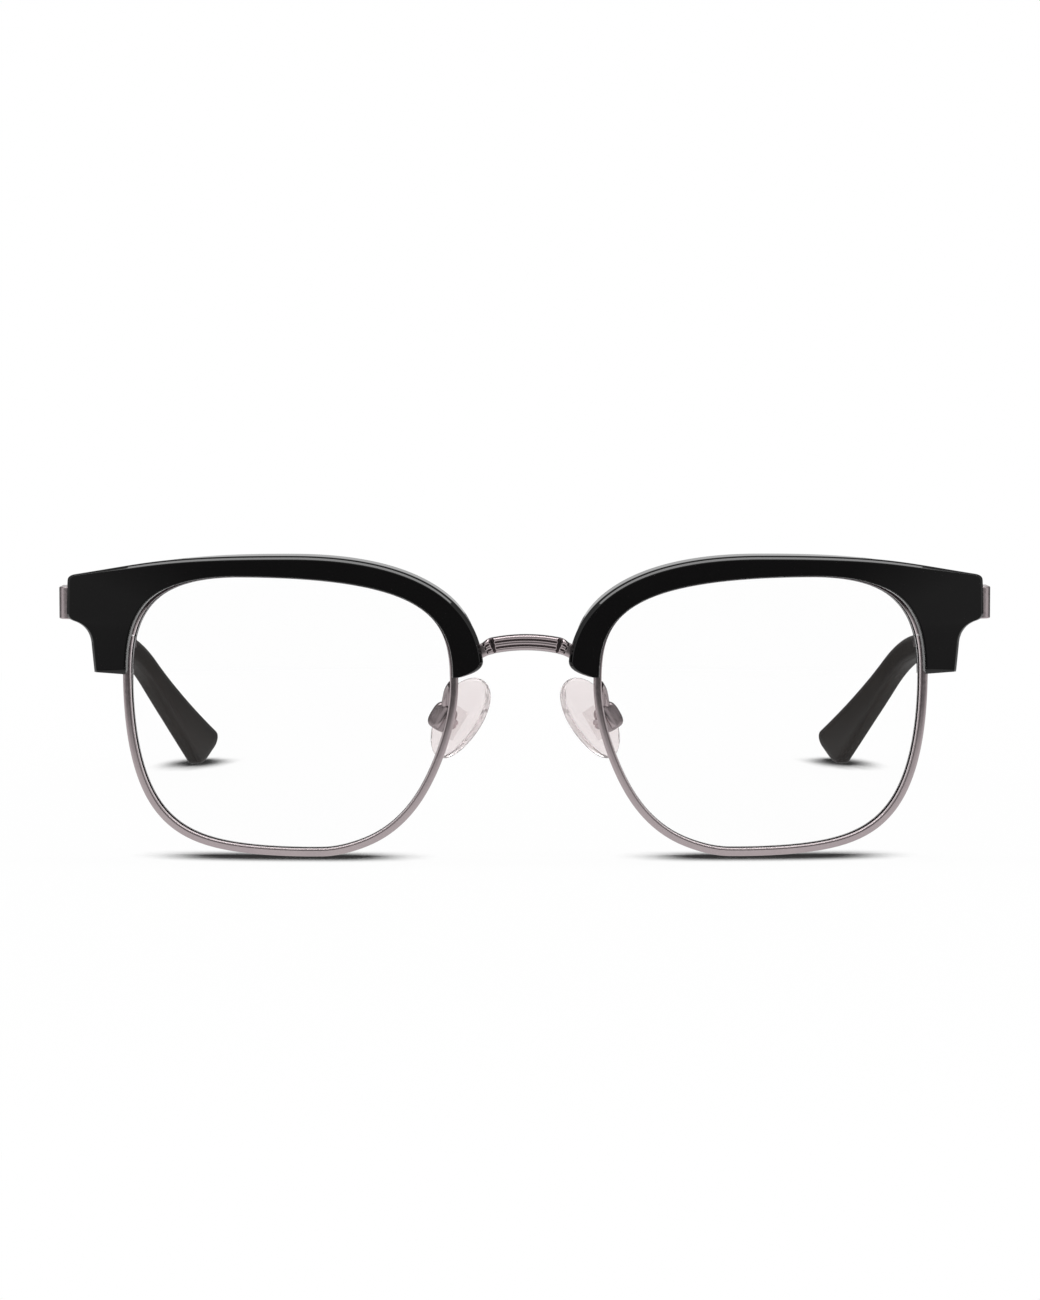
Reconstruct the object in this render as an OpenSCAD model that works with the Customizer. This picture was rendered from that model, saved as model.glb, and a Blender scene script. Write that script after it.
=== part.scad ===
// Half rim (browline) eyeglasses standing open on a table.
// Millimetres, +Z up, the front faces -Y and the temples run back along +Y.
// Every piece is drawn for the right (+X) side and mirrored for the left.

/* [Lens shape] */
// Width of the rim opening
lens_w = 49.35; // [44:0.05:54]
// Height of the rim opening
lens_h = 41.85; // [36:0.05:46]
// Distance between the two rim openings at the nose
lens_gap = 23.4; // [20:0.1:27]
// Radius of the curve that front, rims and lenses follow
base_r = 150; // [110:1:260]
// Wrap of each eye about the vertical, degrees
wrap = 3; // [0:0.5:6]
// Thickness of the lens
lens_t = 2; // [1.6:0.1:2.2]

/* [Rim] */
// Radial width of the rim wire
rim_w = 1.3; // [1.2:0.05:1.7]
// Depth of the rim wire, front to back
rim_d = 2.4; // [2.3:0.1:3]
// Depth of the V groove that holds the lens
groove = 0.5; // [0.35:0.05:0.6]
// Opening in the rim wire at the closing block
rim_split = 0.2; // [0.1:0.05:0.3]

/* [Brow] */
// Thickness of the brow in front of the rim
brow_front = 1.6; // [1.3:0.1:2.2]
// Thickness of the brow behind the rim
brow_back = 0.75; // [0.6:0.05:1.2]
// Height of the brow above the rim opening
brow_rise = 3.2; // [2.9:0.1:4.5]
// Reach of the brow beyond the temporal side of the opening
brow_reach = 9.9; // [9:0.1:12]
// Bevel of the brow's front edge
brow_bevel = 0.7; // [0.4:0.05:0.9]
// Flare of the brow's outer wall towards its back, along the top and the nose side
brow_flare = 0.95; // [0:0.05:1.2]

/* [Bridge] */
// Height of the bridge bar at its middle
bridge_h = 2.2; // [1.9:0.1:3]
// Depth of the bridge bar
bridge_d = 1.9; // [1.6:0.1:2.3]
// Radius of the bridge's flat arch
bridge_r = 26; // [22:0.5:32]
// Slope of the bridge's ends, degrees
bridge_bend = 26; // [20:1:30]
// Length of the ribbed middle
bridge_rib_l = 9.6; // [7:0.2:10]

/* [Hinge and end piece] */
// Height of end piece and temple at the hinge
end_h = 5; // [4.8:0.1:6]
// Thickness of the end piece and temple metal
end_t = 1.3; // [1.1:0.05:1.6]
// Stand of the end piece outside the brow's end
end_out = 1.6; // [1.4:0.1:2.4]
// Length of the end piece behind its bend
end_leg = 4.2; // [4:0.1:7]
// Radius of the hinge barrels
barrel_r = 1.25; // [1.15:0.05:1.5]
// Radius of the hinge screw
pin_r = 0.6; // [0.5:0.05:0.7]

/* [Temple] */
// Length from hinge to the bend behind the ear
temple_l = 92; // [80:1:104]
// Length from the bend to the end of the tip
drop_l = 47; // [42:1:54]
// Downward slope of the straight part, degrees
temple_slope = 9.4; // [7.5:0.1:10]
// Radius of the bend
bend_r = 58; // [30:1:70]
// Height of the metal temple where the tip begins
temple_h2 = 3.5; // [3.2:0.1:4]
// Length over which the metal temple narrows behind the hinge
taper_l = 28; // [20:1:40]
// Length of metal left bare in front of the tip
bare_l = 66; // [56:1:74]
// Inward sweep of the tip end
tip_in = 12.4; // [8:0.2:14]
// Height of the tip at its mouth
tip_h1 = 4.2; // [4:0.1:5.4]
// Height of the tip near its end
tip_h2 = 9.9; // [7:0.1:11]
// Thickness of the tip
tip_t = 3; // [2.6:0.1:3.4]

/* [Nose pads] */
// Length of a pad
pad_l = 13.9; // [11:0.2:15]
// Width of a pad
pad_w = 9; // [7:0.2:10]
// Thickness of a pad
pad_t = 2.4; // [2:0.1:2.8]
// Distance of a pad's middle from the mirror plane
pad_x = 10.1; // [9.6:0.1:11]
// Distance of a pad's middle behind the rim
pad_y = 7; // [6:0.1:8]
// Lean of the pad towards the nose bridge, degrees
pad_lean = 31; // [20:1:34]
// Drop of the pad's screw below its middle
pin_drop = 1; // [0.4:0.1:1.6]
// Splay of the pad, degrees
pad_splay = 47; // [36:1:48]
// Thickness of the pad arm wire
arm_d = 1.2; // [0.9:0.05:1.25]

/* [Fits] */
// Clearance between pieces pressed or soldered together
fit = 0.08; // [0.05:0.01:0.12]
// Radial clearance of a turning pin
run = 0.03; // [0.02:0.01:0.06]

/* [Hidden] */
$fn = 48;

black = [0.05, 0.05, 0.055];
steel = [0.50, 0.46, 0.46];
clear = [0.85, 0.88, 0.88];
satin = [0.17, 0.16, 0.155];

// The rim opening: four Bezier quarters between its outermost points, temple side first.
seg = 18;
nasal_x = lens_gap / 2;
temple_x = nasal_x + lens_w;
low_z = rim_w;
top_z = low_z + lens_h;
eye_e = [temple_x, low_z + 0.662 * lens_h];
eye_t = [nasal_x + 0.658 * lens_w, top_z];
eye_n = [nasal_x, low_z + 0.603 * lens_h];
eye_b = [nasal_x + 0.402 * lens_w, low_z];
eye_c = [nasal_x + lens_w / 2, low_z + lens_h / 2];
quarters = [
    [eye_e, [eye_e.x, mix(eye_e.y, eye_t.y, 0.638)], [mix(eye_t.x, eye_e.x, 0.778), eye_t.y], eye_t],
    [eye_t, [mix(eye_t.x, eye_n.x, 0.97), eye_t.y], [eye_n.x, mix(eye_n.y, eye_t.y, 0.551)], eye_n],
    [eye_n, [eye_n.x, mix(eye_n.y, eye_b.y, 0.357)], [mix(eye_b.x, eye_n.x, 0.657), eye_b.y], eye_b],
    [eye_b, [mix(eye_b.x, eye_e.x, 0.739), eye_b.y], [eye_e.x, mix(eye_e.y, eye_b.y, 0.832)], eye_e]];

function mix(a, b, t) = a + (b - a) * t;
function unit(v) = v / norm(v);
function bez(p, t) = pow(1 - t, 3) * p[0] + 3 * t * pow(1 - t, 2) * p[1]
    + 3 * t * t * (1 - t) * p[2] + pow(t, 3) * p[3];
function bez_d(p, t) = pow(1 - t, 2) * (p[1] - p[0]) + 2 * t * (1 - t) * (p[2] - p[1])
    + t * t * (p[3] - p[2]);
function turn4(q) = q - 4 * floor(q / 4);
function eye(q) = let (w = turn4(q)) bez(quarters[floor(w)], w - floor(w));
function eye_out(q) = let (w = turn4(q), d = unit(bez_d(quarters[floor(w)], w - floor(w)))) [d.y, -d.x];
function eye_at(q, p) = eye(q) + p * eye_out(q);

// A front point [x, z] at depth d: on the base curve, then back along its normal, then wrapped.
function front(p, d) = let (a = p.x - eye_c.x, b = p.y - eye_c.y, k = sqrt(base_r * base_r - a * a - b * b),
    g = (base_r - d) / base_r, u = a * g, v = base_r - k * g)
    [eye_c.x + u * cos(wrap) - v * sin(wrap), u * sin(wrap) + v * cos(wrap), eye_c.y + b * g];

// Faces of a skin over rings of m points: both ends fan shut, or the rings close on themselves.
function band(i, j, m) = [for (k = [0 : m - 1]) each [
    [i * m + k, j * m + k, j * m + (k + 1) % m], [i * m + k, j * m + (k + 1) % m, i * m + (k + 1) % m]]];
function bands(n, m) = [for (i = [0 : n - 2]) each band(i, i + 1, m)];
module skin(rings, cap = []) {
    m = len(rings[0]);
    n = len(rings);
    ends = cap == [] ? [[for (k = [0 : m - 1]) k]] : cap;
    back = [for (f = ends) [for (k = [len(f) - 1 : -1 : 0]) f[k] + (n - 1) * m]];
    polyhedron([for (r = rings) each r], concat(ends, bands(n, m), back));
}

// Mirrored pair helper: draws the child on the asked side, with the whole part centred front to back.
module side(s) {
    translate([0, shift_y, 0])
        mirror([s < 0 ? 1 : 0, 0, 0])
            children();
}

// Rim wire: V grooved section carried round the opening from one edge of the split to the other.
split_q = 0.205;
split_dq = rim_split / 2 / (3 * norm(bez_d(quarters[0], split_q)));
rim_first = ceil(split_q * seg);
rim_q = concat([split_q + split_dq], [for (k = [rim_first : rim_first + 4 * seg - 1]) k / seg],
    [split_q + 4 - split_dq]);
rim_sec = [[0, 0.15], [0.15, 0], [rim_w - 0.3, 0], [rim_w, 0.3], [rim_w, rim_d - 0.3], [rim_w - 0.3, rim_d],
    [0.15, rim_d], [0, rim_d - 0.15], [0, rim_d / 2 + 0.45], [groove, rim_d / 2], [0, rim_d / 2 - 0.45]];
rim_cap = [[0, 1, 2, 3, 9, 10], [3, 4, 9], [4, 5, 6, 7, 8, 9]];
module rim() {
    skin([for (q = rim_q) [for (s = rim_sec) front(eye_at(q, s[0]), s[1])]], rim_cap);
}

// Lens: two base curve faces and a bevelled edge that lies in the rim groove.
lens_in = -fit - 0.02;
lens_edge = [[lens_in, (rim_d - lens_t) / 2], [lens_in, rim_d / 2 - 0.48], [groove - 0.1, rim_d / 2],
    [lens_in, rim_d / 2 + 0.48], [lens_in, (rim_d + lens_t) / 2]];
lens_rings = [0.02, 0.5];
module lens() {
    n = 4 * seg;
    inner = [for (k = [0, 1]) [for (i = [0 : n - 1])
        front(mix(eye_c, eye_at(i / seg, -fit), lens_rings[k]), lens_edge[0][1])]];
    edge = [for (e = lens_edge) [for (i = [0 : n - 1]) front(eye_at(i / seg, e[0]), e[1])]];
    outer = [for (k = [1, 0]) [for (i = [0 : n - 1])
        front(mix(eye_c, eye_at(i / seg, -fit), lens_rings[k]), lens_edge[4][1])]];
    skin(concat(inner, edge, outer));
}

// Brow: the outline from the foot of the temple leg, round the end, over the top to the nose end.
brow_end = temple_x + brow_reach;
brow_top = top_z + brow_rise;
foot = [brow_end - 4.45, eye_e.y - 0.55];
neck = [brow_end - 4, foot.y + 4.1];
heel = [brow_end - 1.2, foot.y + 7.7];
nose_tip = [nasal_x - 4.9, eye_n.y + 3.9];
crest = [eye_t.x - 8.2, brow_top];
// Each stretch: four Bezier points, the opening's parameter at both ends, number of steps.
brow_runs = [
    [[foot, mix(foot, neck, 0.33), mix(foot, neck, 0.66), neck], -0.012, 0.17, 3],
    [[neck, neck + [0.15, 2], heel + [-1.6, -0.5], heel], 0.17, 0.27, 5],
    [[heel, heel + [0.7, 0.2], [brow_end, heel.y + 0.5], [brow_end, heel.y + 1.3]], 0.27, 0.33, 4],
    [[[brow_end, heel.y + 1.3], [brow_end, heel.y + 3], [brow_end, brow_top - 5],
        [brow_end - 0.05, brow_top - 3.9]], 0.33, 0.42, 2],
    [[[brow_end - 0.05, brow_top - 3.9], [brow_end - 0.1, brow_top - 3.4],
        [brow_end - 0.5, brow_top - 3.15], [brow_end - 1.2, brow_top - 3]], 0.42, 0.46, 4],
    [[[brow_end - 1.2, brow_top - 3], [brow_end - 12.6, brow_top - 1.1], [crest.x + 18.6, brow_top], crest],
        0.46, 1.13, 12],
    [[crest, [nasal_x + 0.2, brow_top], nose_tip + [0.6, 5.5], nose_tip], 1.13, 1.86, 14],
    [[nose_tip, nose_tip + [-0.15, -1.2], nose_tip + [0.9, -1.9], [nasal_x - rim_w - 0.45, eye_n.y + 1.35]],
        1.86, 1.954, 5]];
function run_pts(r, last) = [for (k = [0 : r[3] - (last ? 0 : 1)])
    [bez(r[0], k / r[3]), mix(r[1], r[2], k / r[3])]];
brow_pts = [for (i = [0 : len(brow_runs) - 1]) each run_pts(brow_runs[i], i == len(brow_runs) - 1)];
brow_f = -brow_front;
brow_b = rim_d + fit + brow_back;
lip_front = 0.25;
// The back lip reaches into the opening at the temple leg only.
function lip_back(q) = let (t = min(1, max(0, (q - 0.12) / 0.3))) mix(-0.35, 0.35, t * t * (3 - 2 * t));
function flare(q) = let (t = min(1, max(0, (q - 0.44) / 0.2)) * min(1, max(0, (1.86 - q) / 0.22)))
    brow_flare * t * t * (3 - 2 * t);
function brow_ring(o, q) = let (i = eye(q), n = eye_out(q), w = unit(i - o), fi = i + lip_front * n,
    bi = i + lip_back(q) * n, e = brow_bevel, ob = o - flare(q) * w,
    m = (fi + 0.45 * n + o + e * w) / 2, mb = (bi + ob) / 2)
    [front(m, brow_f), front(o + e * w, brow_f), front(o + 0.3 * e * w, brow_f + 0.3 * e),
    front(o, brow_f + e), front(ob, brow_b - 0.4), front(ob + 0.4 * w, brow_b), front(mb, brow_b),
    front(bi + 0.35 * n, brow_b), front(bi, brow_b - 0.3), front(bi, rim_d + fit),
    front(i + (rim_w + fit) * n, rim_d + fit),
    front(i + (rim_w + fit) * n, -fit), front(fi, -fit), front(fi, brow_f + 0.45),
    front(fi + 0.45 * n, brow_f)];
brow_rings = [for (p = brow_pts) brow_ring(p[0], p[1])];
brow_cap = [[0, 1, 2, 3, 11, 12, 13, 14], [3, 4, 10, 11], [4, 5, 6, 7, 8, 9, 10]];
module brow() {
    difference() {
        skin(brow_rings, brow_cap);
        bridge_neck(bridge_h + 0.3, bridge_d + 0.3, 8);
        block_room();
        end_seat();
        on_end_screw()
            cylinder(r = 0.55 + run, h = 6, center = true);
    }
}

// Bridge: flat arch with a ribbed middle, bent down at both ends to the rims, with a collar at each bend.
bridge_z = foot.y + 4.75;
bridge_y = front([nasal_x - rim_w, bridge_z - 3], rim_d / 2).y;
bridge_end = front([nasal_x - rim_w, bridge_z - 3], 0).x - fit;
bridge_half = bridge_rib_l / 2 + 0.1;
bridge_turn = asin(bridge_half / bridge_r);
module arch() {
    translate([0, bridge_y, bridge_z - bridge_r])
        rotate([90, 0, 0])
            rotate([0, 0, 90 - bridge_turn])
                rotate_extrude(angle = 2 * bridge_turn, $fn = 96)
                    translate([bridge_r, 0])
                        children();
}
module at_bend() {
    translate([bridge_half, bridge_y, bridge_z - bridge_r * (1 - cos(bridge_turn))])
        rotate([0, bridge_bend, 0])
            children();
}
// The right end of the bar, as much deeper to the back as asked.
module bridge_neck(h, d, deeper) {
    at_bend()
        translate([-0.4, -d / 2, -h / 2])
            cube([12, d + deeper, h]);
}
module bridge_side() {
    intersection() {
        bridge_neck(bridge_h - 0.5, bridge_d - 0.3, 0);
        cube([2 * bridge_end, 60, 200], center = true);
    }
    at_bend()
        translate([0.45, 0, 0])
            cube([1.1, bridge_d, bridge_h - 0.1], center = true);
}
module bridge() {
    color(steel)
        translate([0, shift_y, 0]) {
            arch() {
                square([bridge_h, bridge_d - 0.2], center = true);
                for (k = [-1, 0, 1])
                    translate([k * (bridge_h / 3), bridge_d / 2 - 0.2])
                        circle(r = bridge_h / 6.6, $fn = 24);
            }
            bridge_side();
            mirror([1, 0, 0])
                bridge_side();
        }
}

// End piece: strip along the brow's back, bent back beside the brow's end; drawn in plan.
hinge_z = heel.y + end_h / 2 + 0.05;
plan_a = front([temple_x + 1.6, hinge_z], brow_b + fit);
plan_b = front([brow_end - 0.6, hinge_z], brow_b + fit);
strip_dir = unit([plan_b.x - plan_a.x, plan_b.y - plan_a.y]);
strip_ang = atan2(strip_dir.y, strip_dir.x);
bend_in = 0.7;
bend_out = bend_in + end_t;
end_x = front([brow_end, hinge_z], brow_f).x + end_out;
strip_l = (end_x - bend_out * (1 - strip_dir.y) - plan_a.x) / strip_dir.x;
bend_c = [plan_a.x, plan_a.y] + strip_l * strip_dir + bend_out * [-strip_dir.y, strip_dir.x];
hinge_y = bend_c.y + end_leg;
axis_x = end_x - end_t - 0.06 - barrel_r;
hinge_low = hinge_z - end_h / 2;
function bend_arc(r) = [for (i = [0 : 16]) let (a = mix(strip_ang - 90, 0, i / 16))
    bend_c + r * [cos(a), sin(a)]];
module end_plan() {
    start = [plan_a.x, plan_a.y];
    inner = bend_arc(bend_in);
    polygon(concat([start], bend_arc(bend_out), [[end_x, hinge_y - 0.05], [end_x - end_t, hinge_y - 0.05]],
        [for (i = [16 : -1 : 0]) inner[i]], [start + end_t * [-strip_dir.y, strip_dir.x]]));
}
// Flat seat for the strip in the back of the brow.
module end_seat() {
    translate([plan_a.x, plan_a.y, hinge_low - fit])
        rotate([0, 0, strip_ang])
            translate([-0.15, -fit, 0])
                cube([strip_l + 5, 8, end_h + 2 * fit]);
}
module on_end_screw() {
    p = front([(temple_x + brow_end) / 2 + 0.6, hinge_z], brow_b);
    translate([p.x, p.y, hinge_z])
        rotate([0, 0, strip_ang])
            rotate([90, 0, 0])
                children();
}
module end_piece() {
    difference() {
        translate([0, 0, hinge_low])
            linear_extrude(end_h)
                end_plan();
        on_end_screw()
            cylinder(r = 0.6 + run, h = 20, center = true);
    }
}
module brow_screw() {
    on_end_screw()
        difference() {
            union() {
                translate([0, 0, -end_t - 2 * fit - 0.1])
                    cylinder(r = 0.55, h = end_t + 2.6);
                translate([0, 0, -end_t - 2 * fit - 0.5])
                    cylinder(r = 1.05, h = 0.5);
            }
            translate([0, 0, -end_t - 2 * fit - 0.5])
                cube([3, 0.3, 0.5], center = true);
        }
}

// Closing block: an upper and a lower half behind the rim's split, drawn together by a screw.
block_w = 2.6;
block_d = 1.9;
block_in = 0.2;
block_h = hinge_low - eye(split_q).y - rim_split / 2 - fit;
module at_block() {
    p = front(eye_at(split_q, rim_w / 2), rim_d + fit);
    translate([p.x, p.y, eye(split_q).y])
        rotate([0, 0, strip_ang - 2])
            children();
}
module block_room() {
    at_block()
        translate([block_in - 0.2, 0, -rim_split / 2 - block_h - 1])
            cube([block_w + 0.4, 8, rim_split + 2 * block_h + 1 + fit]);
}
module closing_block(low) {
    at_block()
        difference() {
            translate([block_in, 0.02, low])
                cube([block_w, block_d, block_h]);
            translate([block_in + block_w / 2, block_d / 2, 0])
                cylinder(r = 0.6 + run, h = 20, center = true);
        }
}
module block_upper() {
    closing_block(rim_split / 2);
}
module block_lower() {
    closing_block(-rim_split / 2 - block_h);
}
module rim_lock_screw() {
    at_block()
        translate([block_in + block_w / 2, block_d / 2, 0])
            difference() {
                union() {
                    translate([0, 0, -rim_split / 2 - block_h - fit - 0.1])
                        cylinder(r = 0.6, h = 2 * block_h + rim_split);
                    translate([0, 0, -rim_split / 2 - block_h - fit - 0.6])
                        cylinder(r = block_d / 2 - 0.05, h = 0.6 + fit / 2);
                }
                translate([0, 0, -rim_split / 2 - block_h - fit - 0.6])
                    cube([3, 0.3, 0.6], center = true);
            }
}

// Hinge: two barrels on the end piece, one on the temple, and the screw they turn on.
knuckle = (end_h - 0.5) / 3;
module knuckle_at(k, grip, length) {
    translate([axis_x, hinge_y, hinge_low + 0.25 + k * knuckle + 0.03])
        difference() {
            union() {
                cylinder(r = barrel_r, h = knuckle - 0.06);
                translate([0, grip > 0 ? 0 : -length, 0])
                    cube([barrel_r + 0.02, length, knuckle - 0.06]);
            }
            translate([0, 0, -1])
                cylinder(r = pin_r + run, h = knuckle + 2);
        }
}
leaf_t = 0.7;
module hinge_front() {
    for (k = [0, 2])
        knuckle_at(k, -1, barrel_r + 0.2);
    translate([axis_x + barrel_r + 0.02 - leaf_t, hinge_y - end_leg + 0.5, hinge_low + 0.28])
        cube([leaf_t, end_leg - barrel_r - 0.65, end_h - 0.56]);
}
module hinge_temple() {
    knuckle_at(1, 1, barrel_r + 0.2);
    translate([axis_x + barrel_r + 0.02 - leaf_t, hinge_y + barrel_r + 0.1, hinge_low + knuckle - 0.42])
        cube([leaf_t, 5, knuckle + 0.7]);
}
module hinge_screw() {
    translate([axis_x, hinge_y, hinge_low])
        difference() {
            union() {
                translate([0, 0, 0.2])
                    cylinder(r = pin_r, h = end_h);
                translate([0, 0, end_h - 0.25 + 0.02])
                    cylinder(r = pin_r + 0.45, h = 0.5);
            }
            translate([0, 0, end_h + 0.27])
                cube([4, 0.3, 0.5], center = true);
        }
}

// Temple path: straight, a round bend, straight to the tip's end, which stands on the table.
bar_x = end_x - end_t / 2;
path_0 = [hinge_y, hinge_z];
path_1 = path_0 + temple_l * [cos(temple_slope), -sin(temple_slope)];
function drop_ang(z) = asin((path_1.y - z) / drop_l);
function path(s, z) = let (a2 = drop_ang(z), h = (a2 - temple_slope) / 2, c = bend_r * tan(h),
    s1 = temple_l - c, w = bend_r * 2 * h * PI / 180)
    s < s1 ? concat(path_0 + s * [cos(temple_slope), -sin(temple_slope)], temple_slope)
    : s > s1 + w ? let (p = path_1 + (c + s - s1 - w) * [cos(a2), -sin(a2)]) concat(p, a2)
    : let (a = temple_slope + (s - s1) / bend_r * 180 / PI, f = [cos(temple_slope), -sin(temple_slope)],
        o = path_0 + s1 * f + bend_r * [f.y, -f.x])
        concat(o + bend_r * [sin(a), cos(a)], a);
path_l = temple_l + drop_l - 1;
sweep_s = bare_l + 2;
function inward(s) = s < sweep_s ? 0 : tip_in * pow((s - sweep_s) / (path_l - sweep_s), 1.5);
// Ring round the path at s: section of height h and thickness t, its top e further along than its middle.
function path_ring(s, h, t, z, sec, e = 0) = let (p = path(s, z), y = p[0], w = p[1], a = p[2])
    [for (k = sec) let (u = k.y * h / 2, v = k.y * e)
        [bar_x - inward(s + v) + k.x * t / 2, y + u * sin(a) + v * cos(a), w + u * cos(a) - v * sin(a)]];
round_sec = [for (i = [0 : 15]) let (a = i * 22.5 + 11.25) [sign(cos(a)) * pow(abs(cos(a)), 0.55),
    sign(sin(a)) * pow(abs(sin(a)), 0.62)]];
core_sec = [for (i = [0 : 15]) let (a = i * 22.5 + 11.25, m = max(abs(cos(a)), abs(sin(a))))
    [cos(a) / m, sin(a) / m]];

// Temple tip: rings from the rounded end to the mouth, then back down the slot for the core.
core_h = 2.4;
core_t = 1;
core_l = drop_l + temple_l - bare_l - 14;
tip_len = path_l - bare_l;
tip_skew = 3.6;
tip_end = [[0, 0.26], [0.3, 0.56], [0.9, 0.8], [1.7, 0.95], [2.9, 1]];
function tip_h(s) = let (u = (s - bare_l) / tip_len) mix(tip_h1, tip_h2, pow(u, 2.1));
function tip_rings(z) = concat(
    [for (e = tip_end) let (s = path_l - e[0])
        path_ring(s, tip_h(s) * e[1], tip_t * mix(e[1], 1, 0.45), z, round_sec, tip_skew * e[1])],
    [for (i = [1 : 14]) let (s = path_l - mix(tip_end[4][0], tip_len, i / 14))
        path_ring(s, tip_h(s), tip_t, z, round_sec, tip_skew * max(0, 1 - i / 4))]);
function low_of(z) = min([for (r = tip_rings(z)) each [for (p = r) p.z]]);
end_z0 = tip_h2 * 0.4;
end_z1 = end_z0 - low_of(end_z0);
end_z = end_z1 - low_of(end_z1);
core_s = [for (i = [0 : 12]) mix(bare_l, bare_l + core_l, i / 12)];
module temple_tip() {
    slot = [for (s = core_s) path_ring(s, core_h + 2 * fit, core_t + 2 * fit, end_z, core_sec)];
    skin(concat(tip_rings(end_z), slot));
}
// The bar narrows from below, so its lower edge starts nearly level.
bar_top = hinge_low + end_h - taper_l * tan(temple_slope - 1.2);
module temple_bar() {
    p = path(bare_l - fit, end_z);
    up = temple_h2 / 2 * [cos(p[2]), sin(p[2])];
    mid = [p[1], p[0]];
    translate([end_x, 0, 0])
        rotate([0, -90, 0])
            linear_extrude(end_t)
                polygon([[hinge_low, hinge_y + 0.05], [hinge_low + end_h, hinge_y + 0.05],
                    [bar_top, hinge_y + taper_l], mid + up, mid - up,
                    [bar_top - temple_h2, hinge_y + taper_l]]);
    skin([for (i = [12 : -1 : 0]) let (s = core_s[i] - (i == 12 ? 0.4 : i == 0 ? 1 : 0))
        path_ring(s, core_h, core_t, end_z, core_sec)]);
}

// Nose pads: pad on its core, turning on a screw in a box at the end of the pad arm.
pad_z = eye_n.y - 5.9;
pad_c = [pad_x, front(eye_n, rim_d).y + pad_y, pad_z];
pin_x = pad_t / 2 + 2.1;
tab_t = 1.2;
box_w = 3.6;
box_h = 4.2;
box_r = 2.3;
box_back = pin_x + box_r - 0.15;
module at_pad() {
    translate(pad_c)
        rotate([0, -pad_lean, 0])
            rotate([0, 0, -pad_splay])
                children();
}
module at_pin() {
    at_pad()
        translate([pin_x, 0, -pin_drop])
            rotate([90, 0, 0])
                children();
}
function pad_map(p) = let (x = p.x * cos(pad_splay) + p.y * sin(pad_splay),
    y = -p.x * sin(pad_splay) + p.y * cos(pad_splay))
    pad_c + [x * cos(pad_lean) - p.z * sin(pad_lean), y, x * sin(pad_lean) + p.z * cos(pad_lean)];
// Teardrop outline, broad above and narrow below, bulged towards the nose.
function pad_edge(a, k) = [sin(a) * pad_w / 2 * k * (1 + 0.1 * cos(a)), cos(a) * pad_l / 2 * k];
function pad_ring(k, x) = [for (i = [0 : 23]) let (p = pad_edge(i * 15, k))
    [x - 0.9 * pow(p.y / pad_l * 2, 2) * 0.5 + 0.4 * k * k, p.x, p.y]];
pad_rings = [pad_ring(0.1, pad_t / 2), pad_ring(0.6, pad_t / 2 - 0.1), pad_ring(0.9, pad_t / 2 - 0.45),
    pad_ring(1, pad_t * 0.05), pad_ring(0.9, -pad_t / 2 + 0.5), pad_ring(0.6, -pad_t / 2 + 0.12),
    pad_ring(0.1, -pad_t / 2)];
module nose_pad() {
    difference() {
        at_pad()
            skin(pad_rings);
        at_pin()
            translate([pad_t / 2 - 0.5 - pin_x, 0, 0])
                cube([1.6, 5 + 2 * fit, 2.4 + 2 * fit], center = true);
    }
}
module pad_core() {
    at_pin()
        difference() {
            union() {
                translate([pad_t / 2 - 0.75 - pin_x, 0, 0])
                    cube([1, 5, 2.4], center = true);
                translate([pad_t / 2 - 0.3 - pin_x, -0.9, -tab_t / 2])
                    cube([pin_x - pad_t / 2 + 0.3, 1.8, tab_t]);
                cylinder(r = 1.1, h = tab_t, center = true);
            }
            cylinder(r = 0.5 + run, h = 9, center = true);
        }
}
module pad_box() {
    at_pin()
        difference() {
            intersection() {
                translate([-0.85, -box_h / 2, -box_w / 2])
                    cube([box_back - pin_x + 0.85, box_h, box_w]);
                cylinder(r = box_r, h = 9, center = true);
                translate([0.1, 0, 0])
                    rotate([90, 0, 0])
                        cylinder(r = box_r, h = 9, center = true);
            }
            translate([-3, -4, -tab_t / 2 - 0.1])
                cube([4.3, 8, tab_t + 0.2]);
            cylinder(r = 0.5 + run, h = 9, center = true);
        }
}
module pad_screw() {
    at_pin()
        difference() {
            union() {
                translate([0, 0, -box_w / 2])
                    cylinder(r = 0.5, h = box_w + 0.2);
                translate([0, 0, box_w / 2 + 0.02])
                    cylinder(r = 0.85, h = 0.45);
            }
            translate([0, 0, box_w / 2 + 0.47])
                cube([3, 0.25, 0.4], center = true);
        }
}
// The arm leaves the rim's back, bows out and comes down on the box's round back.
arm_0 = front(eye_at(2, rim_w / 2), rim_d + fit);
arm_n = unit(front(eye_at(2, rim_w / 2), rim_d + 1) - front(eye_at(2, rim_w / 2), rim_d));
function on_box(r) = pad_map([pin_x + r * cos(56), 0, r * sin(56) - pin_drop]);
arm_3 = on_box(box_r + fit);
arm_m = unit(on_box(2 * box_r) - on_box(box_r));
arm_b = [arm_0, arm_0 + 1.8 * arm_n + [1.2, 0, 0.2], arm_3 + 1.6 * arm_m + [1, 0, 0], arm_3];
function arm_t(t) = t == 0 ? arm_n : t == 1 ? -arm_m : unit(bez_d(arm_b, t));
function arm_ring(t) = let (d = arm_t(t), a = unit(cross(d, [0.3, 1, 0.2])), b = cross(d, a))
    [for (i = [0 : 11]) bez(arm_b, t) + arm_d / 2 * (cos(i * 30) * a + sin(i * 30) * b)];
module pad_arm() {
    skin([for (i = [0 : 12]) arm_ring(i / 12)]);
}

// The part stands centred on its origin, front to back.
front_y = min([for (r = brow_rings) each [for (p = r) p.y]]);
back_y = max([for (r = tip_rings(end_z)) each [for (p = r) p.y]]);
shift_y = -(front_y + back_y) / 2;

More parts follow.
